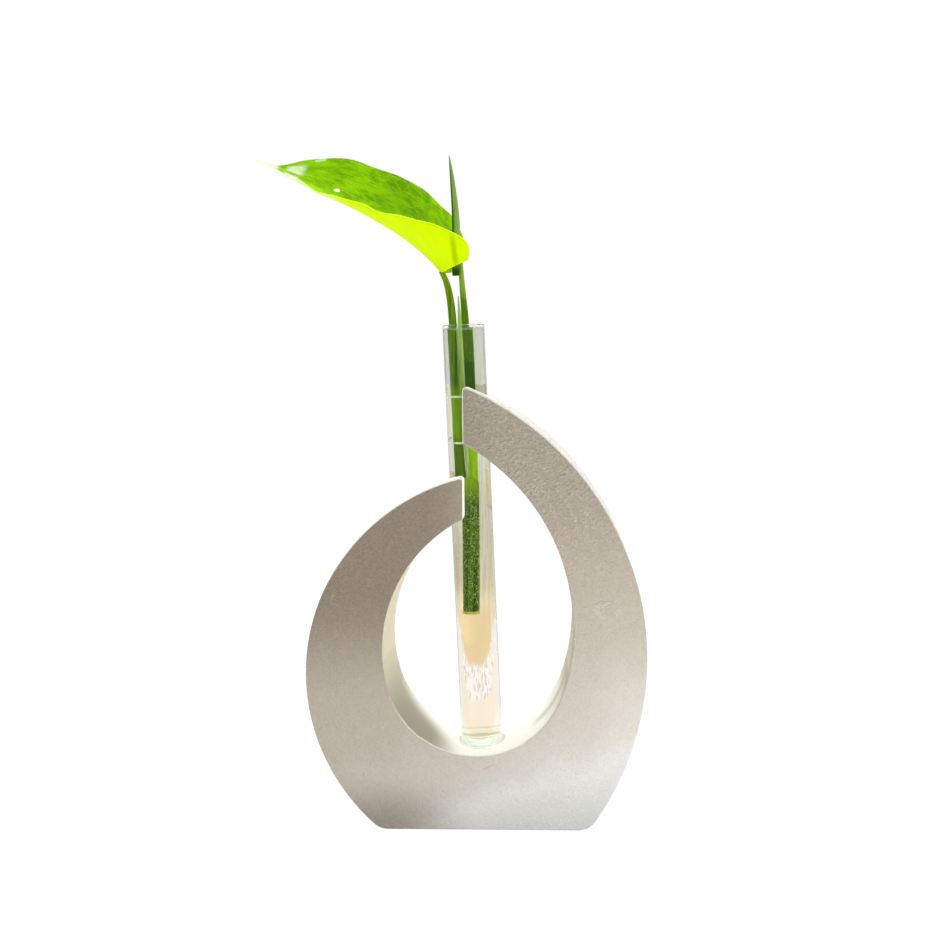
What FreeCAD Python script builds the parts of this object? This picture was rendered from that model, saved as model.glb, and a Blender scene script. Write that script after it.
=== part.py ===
import FreeCAD, Part
import math
import os

import Sketcher

# A test tube vase: a cast crescent holder, a leaning glass tube and the cutting that stands in it.
# +Z is up, +Y goes into the view, and the origin is the middle of the flat that the holder rests on.

# Driving dimensions in millimetres. A name that ends in share is a ratio.
SIZES = [
    # The holder's ring opening: a low arc, with a wider arc running up from it on each side
    ("holder_depth", 30.0),
    ("ring_floor_height", 27.8),
    ("ring_low_radius", 32.2),
    ("ring_low_left", 2.75),
    ("left_sweep_across", 20.15),
    ("left_sweep_rise", 5.7),
    ("right_sweep_across", 40.45),
    ("right_sweep_rise", 14.0),
    # The outer arcs: how much wider than the inner arcs they are, and how far their centres move
    ("left_arm_growth", 20.7),
    ("left_arm_shift", 6.9),
    ("left_arm_drop", 9.55),
    ("right_arm_growth", 30.5),
    ("right_arm_shift", 4.2),
    ("right_arm_drop", 11.7),
    ("arm_cut_left", 6.8),
    ("base_corner_radius", 7.5),
    ("arm_tip_radius", 1.2),
    ("cast_edge_radius", 0.7),
    # The bore that carries the tube: its foot, and how far it leans to the left as it rises
    ("tube_foot_left", 1.47),
    ("tube_sink", 1.8),
    ("tube_lean_share", 0.0391),
    ("tube_play", 1.3),
    # The glass tube
    ("tube_radius", 7.5),
    ("tube_wall", 1.2),
    ("tube_length", 155.0),
    ("tube_base", 4.0),
    ("tube_foot_corner", 2.2),
    ("tube_inner_corner", 1.8),
    # The stem in the water: how far its node hangs below the tube's rim, and its length below that
    ("node_drop", 56.5),
    ("stem_length", 48.0),
    ("stem_radius", 2.3),
    ("stem_bend", 1.4),
    ("node_radius", 3.2),
    ("node_left", 0.9),
    ("node_back", 0.4),
    # The open leaf's stalk
    ("petiole_rise", 74.4),
    ("petiole_reach", 3.9),
    ("petiole_front", 2.9),
    ("petiole_radius", 1.45),
    ("petiole_foot_left", 2.6),
    # The stalk of the young shoot
    ("shoot_rise", 79.5),
    ("shoot_swing", 0.65),
    ("shoot_back", 2.8),
    ("shoot_radius", 1.6),
    ("shoot_foot_right", 0.3),
    ("shoot_foot_back", 1.2),
    # The thin sheath that stands between the two stalks
    ("sheath_rise", 66.8),
    ("sheath_swing", 0.95),
    ("sheath_width", 1.7),
    ("sheath_thickness", 0.5),
    ("sheath_foot_left", 0.4),
    ("sheath_foot_front", 1.0),
    ("sheath_back", 1.3),
    # The furled leaf on the shoot
    ("furl_start_rise", 74.1),
    ("furl_length", 42.2),
    ("furl_radius", 1.45),
    ("furl_swing", 1.4),
    ("furl_foot_left", 2.5),
    ("furl_back", 1.8),
    # The open leaf: a blade folded along its keel, with a near half and a far half
    ("blade_reach", 62.9),
    ("blade_rise", 41.1),
    ("blade_half_width", 25.0),
    ("blade_thickness", 0.8),
    ("blade_seat_left", 0.7),
    ("blade_seat_gap", 0.3),
    # How far a cutting tool runs past what it cuts
    ("overrun", 10.0),
]

# The stem's stations below its node: shares of its length, its bend, its depth and its radius
STEM_SHARES = [
    (1.0, 1.0, 0.0, 0.96),
    (0.80, 0.76, 0.0, 0.99),
    (0.60, 0.55, 0.0, 1.0),
    (0.40, 0.34, 0.02, 1.0),
    (0.25, 0.25, 0.10, 1.02),
    (0.12, 0.34, 0.40, 1.12),
]
# Each stalk's stations: shares of its rise, its sideways swing, its depth and its radius
PETIOLE_SHARES = [
    (0.0, 0.0, 0.0, 1.0),
    (0.12, 0.04, 0.21, 0.99),
    (0.24, 0.08, 0.41, 0.98),
    (0.36, 0.11, 0.59, 0.97),
    (0.48, 0.14, 0.76, 0.97),
    (0.60, 0.17, 0.90, 0.97),
    (0.71, 0.20, 0.97, 0.96),
    (0.80, 0.25, 0.99, 0.93),
    (0.88, 0.37, 0.97, 0.87),
    (0.95, 0.62, 0.90, 0.79),
    (1.0, 1.0, 0.80, 0.70),
]
SHOOT_SHARES = [
    (0.0, 0.0, 0.0, 1.0),
    (0.13, -0.18, 0.19, 0.97),
    (0.26, -0.31, 0.35, 0.94),
    (0.39, -0.40, 0.49, 0.92),
    (0.52, -0.46, 0.59, 0.89),
    (0.64, -0.45, 0.65, 0.86),
    (0.74, -0.28, 0.69, 0.80),
    (0.82, 0.12, 0.76, 0.71),
    (0.89, 0.55, 0.84, 0.63),
    (0.95, 0.83, 0.93, 0.56),
    (1.0, 1.0, 1.0, 0.50),
]
FURL_SHARES = [
    (0.0, 0.30, 0.94, 0.84),
    (0.10, 0.42, 0.95, 0.93),
    (0.20, 0.58, 0.99, 0.96),
    (0.30, 0.76, 1.04, 0.98),
    (0.40, 0.90, 1.10, 0.97),
    (0.50, 0.91, 1.15, 0.90),
    (0.60, 0.82, 1.19, 0.80),
    (0.70, 0.67, 1.2, 0.68),
    (0.80, 0.50, 1.2, 0.53),
    (0.90, 0.28, 1.2, 0.34),
    (1.0, -0.02, 1.2, 0.10),
]
# The sheath's stations: shares of its rise, swing, depth and width
SHEATH_SHARES = [
    (0.0, 0.0, 0.0, 0.60),
    (0.20, 0.27, 0.36, 0.70),
    (0.40, 0.50, 0.64, 0.83),
    (0.60, 0.71, 0.84, 0.97),
    (0.75, 0.83, 0.94, 0.99),
    (0.88, 0.92, 0.99, 0.84),
    (1.0, 1.0, 1.0, 0.40),
]
# The keel's curve: control points as shares of the blade's reach and rise
KEEL_SHARES = [(0.0, 0.0), (0.168, 0.345), (0.53, 0.74), (1.0, 1.0)]
# The blade's stations: shares of the keel's curve, the half width and the thickness, each half's
# turn from upright, near and far, as shares of a right angle, and how far the lobes sweep back
BLADE_SHARES = [
    (0.0, 0.54, 1.0, 0.45, 0.76, 0.32),
    (0.05, 0.86, 1.0, 0.55, 0.69, 0.20),
    (0.13, 1.0, 1.0, 0.70, 0.60, 0.06),
    (0.27, 0.99, 1.0, 0.85, 0.49, 0.0),
    (0.42, 0.90, 1.0, 0.95, 0.41, 0.0),
    (0.56, 0.75, 1.0, 1.02, 0.34, 0.0),
    (0.70, 0.55, 1.0, 1.07, 0.28, 0.0),
    (0.82, 0.29, 0.9, 1.12, 0.22, 0.0),
    (0.92, 0.05, 0.6, 1.15, 0.20, 0.0),
    (1.0, 0.03, 0.4, 1.15, 0.20, 0.0),
]
BLADE_CUP_SHARE = 0.07

# The formula for the height of the stem's node in the tube
NODE_HEIGHT = "Sizes.tube_length - Sizes.node_drop"

doc = FreeCAD.newDocument("test_tube_vase")
sheet = doc.addObject("Spreadsheet::Sheet", "Sizes")


def fill_sheet():
    """Write every driving dimension into the sheet, with its name beside it and as its alias."""
    for row, (name, value) in enumerate(SIZES, start=1):
        sheet.set("A%d" % row, name)
        sheet.set("B%d" % row, str(value))
        sheet.setAlias("B%d" % row, name)
    doc.recompute()


def size(name):
    """A driving dimension, read from the sheet."""
    return float(sheet.get(name))


def new_body(label):
    """A body whose label is also its file's name."""
    body = doc.addObject("PartDesign::Body", label)
    body.Label = label
    return body


def new_sketch(body, name, role):
    """A sketch on one of the body's own origin planes."""
    sketch = body.newObject("Sketcher::SketchObject", name)
    plane = next(item for item in body.Origin.OriginFeatures if item.Role == role)
    sketch.AttachmentSupport = [(plane, "")]
    sketch.MapMode = "FlatFace"
    return sketch


def drive(sketch, name, kind, points, formula=None, value=None):
    """Add a named constraint that follows the size of that name, or a formula of sizes."""
    start = size(name) if value is None else value
    index = sketch.addConstraint(Sketcher.Constraint(kind, *points, start))
    sketch.renameConstraint(index, name)
    sketch.setExpression("Constraints." + name, formula or "Sizes." + name)


def tie(sketch, kind, *points):
    """Add a constraint that has no size."""
    sketch.addConstraint(Sketcher.Constraint(kind, *points))


def arc(circle, start, end):
    """An anticlockwise arc of a circle (x, y, radius), from the angle of one point to another's."""
    across, up, radius = circle
    angles = [math.atan2(point[1] - up, point[0] - across) for point in (start, end)]
    whole = Part.Circle(FreeCAD.Vector(across, up, 0), FreeCAD.Vector(0, 0, 1), radius)
    return Part.ArcOfCircle(whole, *angles)


def line(start, end):
    """A straight sketch line."""
    return Part.LineSegment(FreeCAD.Vector(*start, 0), FreeCAD.Vector(*end, 0))


def edges_where(feature, test):
    """The names of a feature's edges whose middle point and direction pass a test."""
    names = []
    for number, edge in enumerate(feature.Shape.Edges, start=1):
        middle = edge.valueAt((edge.FirstParameter + edge.LastParameter) / 2)
        along = edge.tangentAt((edge.FirstParameter + edge.LastParameter) / 2)
        if test(middle, along):
            names.append("Edge%d" % number)
    return names


def round_edges(body, base, names, label, radius):
    """A fillet on named edges of the base feature."""
    fillet = body.newObject("PartDesign::Fillet", label)
    fillet.Base = (base, names)
    fillet.setExpression("Radius", "Sizes." + radius)
    doc.recompute()
    return fillet


def lean_frame(item):
    """Stand an item on the tube's foot, leaning with the bore."""
    item.Placement = FreeCAD.Placement(FreeCAD.Vector(0, 0, 0), FreeCAD.Rotation(FreeCAD.Vector(0, -1, 0), 1))
    item.setExpression("Placement.Base.x", "-Sizes.tube_foot_left")
    item.setExpression("Placement.Base.z", "Sizes.ring_floor_height - Sizes.tube_sink")
    item.setExpression("Placement.Rotation.Angle", "atan(Sizes.tube_lean_share)")


def holder_arcs():
    """The centres and radii of the holder's five arcs, as (x, z, radius)."""
    low_x = -size("ring_low_left")
    low_z = size("ring_floor_height") + size("ring_low_radius")
    across = [size("left_sweep_across"), -size("right_sweep_across")]
    rise = [size("left_sweep_rise"), size("right_sweep_rise")]
    shift = [-size("left_arm_shift"), -size("right_arm_shift")]
    drop = [size("left_arm_drop"), size("right_arm_drop")]
    growth = [size("left_arm_growth"), size("right_arm_growth")]
    arcs = [(low_x, low_z, size("ring_low_radius"))]
    for side in (0, 1):
        inner = (low_x + across[side], low_z + rise[side],
                 size("ring_low_radius") + math.hypot(across[side], rise[side]))
        outer = (inner[0] + shift[side], inner[1] - drop[side], inner[2] + growth[side])
        arcs += [inner, outer]
    return arcs


def height_on(circle, x):
    """The height of a circle's upper half above a place x."""
    return x, circle[1] + math.sqrt(circle[2] ** 2 - (x - circle[0]) ** 2)


def foot_on(circle, side):
    """Where a circle meets the ground, on its left (-1) or right (1) side."""
    return circle[0] + side * math.sqrt(circle[2] ** 2 - circle[1] ** 2), 0.0


def touch(low, wide):
    """Where the low arc touches a wider arc round it."""
    gap = math.hypot(low[0] - wide[0], low[1] - wide[1])
    return tuple(low[i] + (low[i] - wide[i]) * low[2] / gap for i in (0, 1))


def holder_outline(sketch):
    """The crescent: nine corners, joined by five arcs, the two arm cuts and the flat base."""
    low, left, left_out, right, right_out = holder_arcs()
    cut = -size("arm_cut_left")
    corners = {
        "left_top": height_on(left_out, cut), "left_under": height_on(left, cut),
        "left_touch": touch(low, left), "right_touch": touch(low, right),
        "right_under": height_on(right, cut), "right_top": height_on(right_out, cut),
        "right_foot": foot_on(right_out, 1), "left_foot": foot_on(left_out, -1),
    }
    sketch.addGeometry([
        arc(left_out, corners["left_top"], corners["left_foot"]),
        line(corners["left_top"], corners["left_under"]),
        arc(left, corners["left_under"], corners["left_touch"]),
        arc(low, corners["left_touch"], corners["right_touch"]),
        arc(right, corners["right_touch"], corners["right_under"]),
        line(corners["right_under"], corners["right_top"]),
        arc(right_out, corners["right_foot"], corners["right_top"]),
        line(corners["left_foot"], corners["right_foot"]),
    ])
    # A point is (curve, place on it): 1 is its start, 2 its end and 3 its centre; -1, 1 is the origin
    for joint in ((0, 1, 1, 1), (1, 2, 2, 1), (4, 2, 5, 1), (5, 2, 6, 2), (6, 1, 7, 2), (7, 1, 0, 2)):
        tie(sketch, "Coincident", *joint)
    tie(sketch, "Tangent", 2, 2, 3, 1)
    tie(sketch, "Tangent", 3, 2, 4, 1)
    tie(sketch, "Vertical", 1)
    tie(sketch, "Vertical", 5)
    tie(sketch, "PointOnObject", 7, 1, -1)
    tie(sketch, "PointOnObject", 7, 2, -1)
    drive(sketch, "arm_cut_left", "DistanceX", (1, 1, -1, 1))
    drive(sketch, "right_arm_cut", "DistanceX", (5, 1, -1, 1), "Sizes.arm_cut_left", size("arm_cut_left"))
    drive(sketch, "ring_low_radius", "Radius", (3,))
    drive(sketch, "ring_low_left", "DistanceX", (3, 3, -1, 1))
    drive(sketch, "ring_low_height", "DistanceY", (-1, 1, 3, 3),
          "Sizes.ring_floor_height + Sizes.ring_low_radius", low[1])
    drive(sketch, "left_sweep_across", "DistanceX", (3, 3, 2, 3))
    drive(sketch, "left_sweep_rise", "DistanceY", (3, 3, 2, 3))
    drive(sketch, "right_sweep_across", "DistanceX", (4, 3, 3, 3))
    drive(sketch, "right_sweep_rise", "DistanceY", (3, 3, 4, 3))
    drive(sketch, "left_arm_shift", "DistanceX", (0, 3, 2, 3))
    drive(sketch, "left_arm_drop", "DistanceY", (0, 3, 2, 3))
    drive(sketch, "right_arm_shift", "DistanceX", (6, 3, 4, 3))
    drive(sketch, "right_arm_drop", "DistanceY", (6, 3, 4, 3))
    drive(sketch, "left_outer_radius", "Radius", (0,),
          "Sizes.ring_low_radius + Sizes.left_arm_growth"
          " + sqrt(Sizes.left_sweep_across ^ 2 + Sizes.left_sweep_rise ^ 2)", left_out[2])
    drive(sketch, "right_outer_radius", "Radius", (6,),
          "Sizes.ring_low_radius + Sizes.right_arm_growth"
          " + sqrt(Sizes.right_sweep_across ^ 2 + Sizes.right_sweep_rise ^ 2)", right_out[2])


def make_holder():
    """The cast holder: the crescent, its rounded corners and edges, and the leaning bore."""
    body = new_body("holder")
    sketch = new_sketch(body, "HolderOutline", "XZ_Plane")
    holder_outline(sketch)
    pad = body.newObject("PartDesign::Pad", "HolderPad")
    pad.Profile = sketch
    pad.setExpression("Length", "Sizes.holder_depth")
    pad.SideType = "Symmetric"
    doc.recompute()

    low_half = size("ring_floor_height") / 2
    corners = edges_where(pad, lambda at, along: abs(along.y) > 0.9 and at.z < low_half)
    rounded = round_edges(body, pad, corners, "BaseCorners", "base_corner_radius")
    cut = -size("arm_cut_left")
    near = size("arm_tip_radius") / 2
    tips = edges_where(rounded, lambda at, along: abs(along.y) > 0.9 and abs(at.x - cut) < near)
    tipped = round_edges(body, rounded, tips, "ArmTips", "arm_tip_radius")
    face = size("holder_depth") / 2
    rims = edges_where(tipped, lambda at, along: abs(abs(at.y) - face) < near and abs(along.y) < 0.1)
    soft = round_edges(body, tipped, rims, "CastEdges", "cast_edge_radius")

    bore = body.newObject("PartDesign::SubtractiveCylinder", "Bore")
    plane = next(item for item in body.Origin.OriginFeatures if item.Role == "XY_Plane")
    bore.AttachmentSupport = [(plane, "")]
    bore.MapMode = "FlatFace"
    bore.setExpression("Radius", "Sizes.tube_radius + Sizes.tube_play")
    bore.setExpression("Height", "Sizes.tube_length + Sizes.overrun")
    bore.AttachmentOffset = FreeCAD.Placement(FreeCAD.Vector(0, 0, 0),
                                              FreeCAD.Rotation(FreeCAD.Vector(0, -1, 0), 1))
    bore.setExpression("AttachmentOffset.Base.x", "-Sizes.tube_foot_left")
    bore.setExpression("AttachmentOffset.Base.z", "Sizes.ring_floor_height - Sizes.tube_sink")
    bore.setExpression("AttachmentOffset.Rotation.Angle", "atan(Sizes.tube_lean_share)")
    body.Tip = bore
    doc.recompute()
    if not bore.Shape.Volume < soft.Shape.Volume:
        raise RuntimeError("the bore cuts nothing")
    return body


def tube_outline(sketch):
    """Half of the tube's section: flat foot, round corners, fire-polished rim and thick base."""
    radius, wall, length = size("tube_radius"), size("tube_wall"), size("tube_length")
    base, corner, inner = size("tube_base"), size("tube_foot_corner"), size("tube_inner_corner")
    bore = radius - wall
    shoulder = length - wall / 2
    sketch.addGeometry([
        line((0, 0), (radius - corner, 0)),
        arc((radius - corner, corner, corner), (radius - corner, 0), (radius, corner)),
        line((radius, corner), (radius, shoulder)),
        arc((radius - wall / 2, shoulder, wall / 2), (radius, shoulder), (bore, shoulder)),
        line((bore, shoulder), (bore, base + inner)),
        arc((bore - inner, base + inner, inner), (bore - inner, base), (bore, base + inner)),
        line((bore - inner, base), (0, base)),
        line((0, base), (0, 0)),
    ])
    for joint in ((0, 2, 1, 1), (1, 2, 2, 1), (2, 2, 3, 1), (3, 2, 4, 1), (4, 2, 5, 2), (5, 1, 6, 1)):
        tie(sketch, "Tangent", *joint)
    tie(sketch, "Coincident", 6, 2, 7, 1)
    tie(sketch, "Coincident", 7, 2, 0, 1)
    tie(sketch, "Coincident", 0, 1, -1, 1)
    tie(sketch, "Horizontal", 0)
    tie(sketch, "Horizontal", 6)
    tie(sketch, "Vertical", 2)
    tie(sketch, "Vertical", 4)
    tie(sketch, "Vertical", 7)
    drive(sketch, "tube_radius", "DistanceX", (-1, 1, 2, 1))
    drive(sketch, "tube_wall", "DistanceX", (3, 2, 3, 1))
    drive(sketch, "tube_shoulder", "DistanceY", (-1, 1, 3, 3), "Sizes.tube_length - Sizes.tube_wall / 2", shoulder)
    drive(sketch, "tube_base", "DistanceY", (0, 1, 6, 2))
    drive(sketch, "tube_foot_corner", "Radius", (1,))
    drive(sketch, "tube_inner_corner", "Radius", (5,))


def make_tube():
    """The glass tube, turned about its own axis and stood in the bore."""
    body = new_body("test_tube")
    sketch = new_sketch(body, "TubeSection", "XZ_Plane")
    tube_outline(sketch)
    turned = body.newObject("PartDesign::Revolution", "TubeTurned")
    turned.Profile = sketch
    turned.ReferenceAxis = (sketch, ["V_Axis"])
    turned.Angle = 360
    body.Tip = turned
    lean_frame(body)
    doc.recompute()
    return body


def station(body, name, place, outline):
    """A level section of a stalk: its sketch is moved to (x, y, z) formulas, then drawn by outline."""
    sketch = new_sketch(body, name, "XY_Plane")
    for key, formula in zip("xyz", place):
        sketch.setExpression("AttachmentOffset.Base." + key, formula)
    outline(sketch)
    return sketch


def round_section(formula, start):
    """An outline that draws a circle round the sketch's origin."""
    def outline(sketch):
        origin = FreeCAD.Vector(0, 0, 0)
        sketch.addGeometry(Part.Circle(origin, FreeCAD.Vector(0, 0, 1), start))
        tie(sketch, "Coincident", 0, 3, -1, 1)
        drive(sketch, "radius", "Radius", (0,), formula, start)
    return outline


def strap_section(formula, start):
    """An outline that draws a thin rectangle round the sketch's origin."""
    def outline(sketch):
        side, deep = start / 2, size("sheath_thickness") / 2
        corners = [(-side, -deep), (side, -deep), (side, deep), (-side, deep)]
        for index in range(4):
            sketch.addGeometry(line(corners[index], corners[(index + 1) % 4]))
        for index in range(4):
            tie(sketch, "Coincident", index, 2, (index + 1) % 4, 1)
        tie(sketch, "Horizontal", 0)
        tie(sketch, "Horizontal", 2)
        tie(sketch, "Vertical", 1)
        tie(sketch, "Symmetric", 0, 1, 1, 2, -1, 1)
        drive(sketch, "width", "DistanceX", (0, 1, 0, 2), formula, start)
        drive(sketch, "sheath_thickness", "DistanceY", (1, 1, 1, 2))
    return outline


def loft_through(body, sections):
    """A closed loft from the first section to the last."""
    loft = body.newObject("PartDesign::AdditiveLoft", body.Label + "_loft")
    loft.Profile = sections[0]
    loft.Sections = sections[1:]
    body.Tip = loft
    lean_frame(body)
    doc.recompute()
    return body


def make_stem():
    """The stem in the water, which swells into the node that carries the stalks."""
    body = new_body("cutting_stem")
    sections = []
    for number, (drop, bend, back, thick) in enumerate(STEM_SHARES):
        place = ("-Sizes.stem_bend * %s" % bend, "Sizes.node_back * %s" % back,
                 NODE_HEIGHT + " - Sizes.stem_length * %s" % drop)
        outline = round_section("Sizes.stem_radius * %s" % thick, size("stem_radius") * thick)
        sections.append(station(body, "Stem%d" % number, place, outline))
    top = ("-Sizes.node_left", "Sizes.node_back", NODE_HEIGHT)
    sections.append(station(body, "StemNode", top, round_section("Sizes.node_radius", size("node_radius"))))
    return loft_through(body, sections)


def stalk_sections(body, shares, start, swing, back, rise, section):
    """The sections of a stalk that stands on the node: start, swing, back and rise are formulas."""
    sections = []
    for number, (up, side, deep, thick) in enumerate(shares):
        place = ("%s + %s * %s" % (start[0], swing, side), "%s + %s * %s" % (start[1], back, deep),
                 "%s + %s * %s" % (start[2], rise, up))
        sections.append(station(body, body.Label + "_%d" % number, place, section(thick)))
    return loft_through(body, sections)


def round_at(name):
    """A maker of circles whose radius is a share of a named size."""
    return lambda share: round_section("Sizes.%s * %s" % (name, share), size(name) * share)


def make_stalks():
    """The open leaf's stalk, the shoot's stalk, the sheath between them and the furled leaf."""
    petiole = stalk_sections(
        new_body("leaf_petiole"), PETIOLE_SHARES, ("-Sizes.petiole_foot_left", "0", NODE_HEIGHT),
        "-Sizes.petiole_reach", "-Sizes.petiole_front", "Sizes.petiole_rise", round_at("petiole_radius"))
    shoot = stalk_sections(
        new_body("shoot_petiole"), SHOOT_SHARES, ("Sizes.shoot_foot_right", "Sizes.shoot_foot_back", NODE_HEIGHT),
        "-Sizes.shoot_swing", "Sizes.shoot_back", "Sizes.shoot_rise", round_at("shoot_radius"))
    sheath = stalk_sections(
        new_body("leaf_sheath"), SHEATH_SHARES, ("-Sizes.sheath_foot_left", "-Sizes.sheath_foot_front", NODE_HEIGHT),
        "-Sizes.sheath_swing", "Sizes.sheath_back", "Sizes.sheath_rise",
        lambda share: strap_section("Sizes.sheath_width * %s" % share, size("sheath_width") * share))
    furled = stalk_sections(
        new_body("furled_leaf"), FURL_SHARES,
        ("-Sizes.furl_foot_left", "0", NODE_HEIGHT + " + Sizes.furl_start_rise"),
        "Sizes.furl_swing", "Sizes.furl_back", "Sizes.furl_length", round_at("furl_radius"))
    return [petiole, shoot, sheath, furled]


def keel_point(share):
    """A point of the blade's keel and the keel's direction there, in the tube's leaning frame."""
    base_x = -size("petiole_foot_left") - size("petiole_reach") - size("blade_seat_left")
    base_z = size("tube_length") - size("node_drop") + size("petiole_rise") + size("blade_seat_gap")
    base_y = -size("petiole_front") * PETIOLE_SHARES[-1][2]
    points = [(-size("blade_reach") * across, size("blade_rise") * up) for across, up in KEEL_SHARES]
    curve = Part.BezierCurve()
    curve.setPoles([FreeCAD.Vector(base_x + x, base_y, base_z + z) for x, z in points])
    return curve.value(share), curve.tangent(share)[0]


def blade_section(share, width_share, thick_share, near_share, far_share, sweep_share):
    """A folded section across the keel: two thin cupped halves that meet at the keel."""
    keel, along = keel_point(share)
    upright = FreeCAD.Vector(along.z, 0, -along.x) - along * sweep_share
    width = size("blade_half_width") * width_share
    thick = size("blade_thickness") * thick_share
    sides = []
    for sign, turn in ((-1, near_share), (1, far_share)):
        angle = math.radians(90 * turn)
        out = upright * math.cos(angle) + FreeCAD.Vector(0, sign * math.sin(angle), 0)
        # The under side faces away from the fold
        under = FreeCAD.Vector(0, sign * math.cos(angle), 0) - upright * math.sin(angle)
        sides.append((keel + out * width, keel + out * (width / 2) + under * (width * BLADE_CUP_SHARE), under))
    near, far = sides
    # The inner keel lies on the fold's middle line, where the two inner faces meet
    middle = math.radians(90 * (far_share - near_share) / 2)
    half_fold = math.radians(90 * (far_share + near_share) / 2)
    inner = upright * math.cos(middle) + FreeCAD.Vector(0, math.sin(middle), 0)
    inner_keel = keel + inner * (thick / math.sin(half_fold))
    near_in = near[0] - near[2] * thick
    far_in = far[0] - far[2] * thick
    return Part.Wire([
        Part.Arc(near[0], near[1], keel).toShape(),
        Part.Arc(keel, far[1], far[0]).toShape(),
        Part.LineSegment(far[0], far_in).toShape(),
        Part.Arc(far_in, far[1] - far[2] * thick, inner_keel).toShape(),
        Part.Arc(inner_keel, near[1] - near[2] * thick, near_in).toShape(),
        Part.LineSegment(near_in, near[0]).toShape(),
    ])


def make_blade():
    """The open leaf's blade, lofted along its keel, because a folded leaf has no sketch plane."""
    blade = doc.addObject("Part::Feature", "leaf_blade")
    blade.Label = "leaf_blade"
    blade.Shape = Part.makeLoft([blade_section(*shares) for shares in BLADE_SHARES], True, False)
    lean_frame(blade)
    doc.recompute()
    return blade


def check_model(parts):
    """Stop if any object failed or any piece's shape is empty, invalid or more than one solid."""
    for item in doc.Objects:
        if "Invalid" in item.State or "Error" in item.State:
            raise RuntimeError("%s failed: %s" % (item.Label, item.State))
    for part in parts:
        if part.Shape.isNull() or not part.Shape.isValid() or len(part.Shape.Solids) != 1:
            raise RuntimeError("%s has no single valid solid" % part.Label)


def main():
    """Build every piece, check the model and write one file for each piece."""
    fill_sheet()
    parts = [make_holder(), make_tube(), make_stem()] + make_stalks() + [make_blade()]
    doc.recompute()
    check_model(parts)
    os.makedirs("parts", exist_ok=True)
    for part in parts:
        part.Shape.exportStep("parts/%s.step" % part.Label)
        print("%-14s volume %9.1f mm3" % (part.Label, part.Shape.Volume))


main()
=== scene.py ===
import math
import random
from collections import namedtuple

import bmesh
import bpy
from mathutils import Matrix, Vector


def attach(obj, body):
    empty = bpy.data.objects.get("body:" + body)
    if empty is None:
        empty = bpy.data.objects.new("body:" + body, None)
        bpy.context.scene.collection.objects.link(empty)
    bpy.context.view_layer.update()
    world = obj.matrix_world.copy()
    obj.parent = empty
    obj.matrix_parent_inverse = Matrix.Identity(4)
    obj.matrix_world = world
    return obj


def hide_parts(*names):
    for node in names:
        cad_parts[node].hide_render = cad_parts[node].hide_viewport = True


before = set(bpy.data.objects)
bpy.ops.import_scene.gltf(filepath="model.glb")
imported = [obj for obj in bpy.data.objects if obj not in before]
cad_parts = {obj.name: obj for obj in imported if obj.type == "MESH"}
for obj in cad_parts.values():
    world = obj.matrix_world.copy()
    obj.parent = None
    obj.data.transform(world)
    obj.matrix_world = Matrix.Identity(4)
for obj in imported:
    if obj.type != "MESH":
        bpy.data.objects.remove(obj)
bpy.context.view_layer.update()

rng = random.Random(7)

# Finishes and the stage are in metres. Meshes are drawn in millimetres in the tube's own frame, whose origin
# is the middle of the tube's foot and whose third axis runs up the tube.
MM = 0.001

# Where the tube's foot stands, and how far the tube leans to the left for each length that it rises
FOOT_LEFT = 0.00147
FOOT_UP = 0.026
LEAN_SHARE = 0.0391
TUBE_FRAME = Matrix.Translation((-FOOT_LEFT, 0, FOOT_UP)) @ Matrix.Rotation(-math.atan(LEAN_SHARE), 4, "Y")

# The holder, in metres: the middle and radius of the ring's low arc, and the bore's radius
RING_LEFT = 0.00275
RING_UP = 0.060
RING_RADIUS = 0.0322
BORE_RADIUS = 0.0088

# The tube and its water, in millimetres
TUBE_RADIUS = 7.5
TUBE_INSIDE = 6.3
TUBE_LENGTH = 155.0
TUBE_BASE = 4.0
FOOT_TOP = 6.0
FOOT_ROUND = 2.2
INSIDE_ROUND = 1.8
RIM_EDGE = 154.98
RIM_MIDDLE = 7.0
RIM_ROUND = 0.45
WATER_LEVEL = 153.9
WATER_GAP = 0.02
TURN_STEPS = 160

# The height of the plant's node, in millimetres
NODE_UP = 98.5


# Shader maths


class Value:
    """A socket of a material, so that shader maths can be written as sums."""

    def __init__(self, paint, socket):
        self.paint = paint
        self.socket = socket

    def maths(self, operation, *values):
        return self.paint.make("Math", {"operation": operation}, dict(enumerate(values)))

    def __add__(self, other):
        return self.maths("ADD", self, other)

    def __sub__(self, other):
        return self.maths("SUBTRACT", self, other)

    def __mul__(self, other):
        return self.maths("MULTIPLY", self, other)

    def __pow__(self, other):
        return self.maths("POWER", self, other)

    def __radd__(self, other):
        return self.maths("ADD", other, self)

    def __rsub__(self, other):
        return self.maths("SUBTRACT", other, self)

    def __rmul__(self, other):
        return self.maths("MULTIPLY", other, self)

    def abs(self):
        return self.maths("ABSOLUTE", self)

    def sine(self):
        return self.maths("SINE", self)

    def top(self, other):
        """The greater of the two."""
        return self.maths("MAXIMUM", self, other)

    def between(self, low, high):
        """0 below low, 1 above high, and a smooth slope from one to the other."""
        return self.paint.make("MapRange", {"interpolation_type": "SMOOTHSTEP"},
                               {"Value": self, "From Min": low, "From Max": high}, "Result")

    def band(self, low, high, soft):
        """1 between low and high, with soft ends."""
        return self.between(low - soft, low + soft) * (1 - self.between(high - soft, high + soft))


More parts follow.
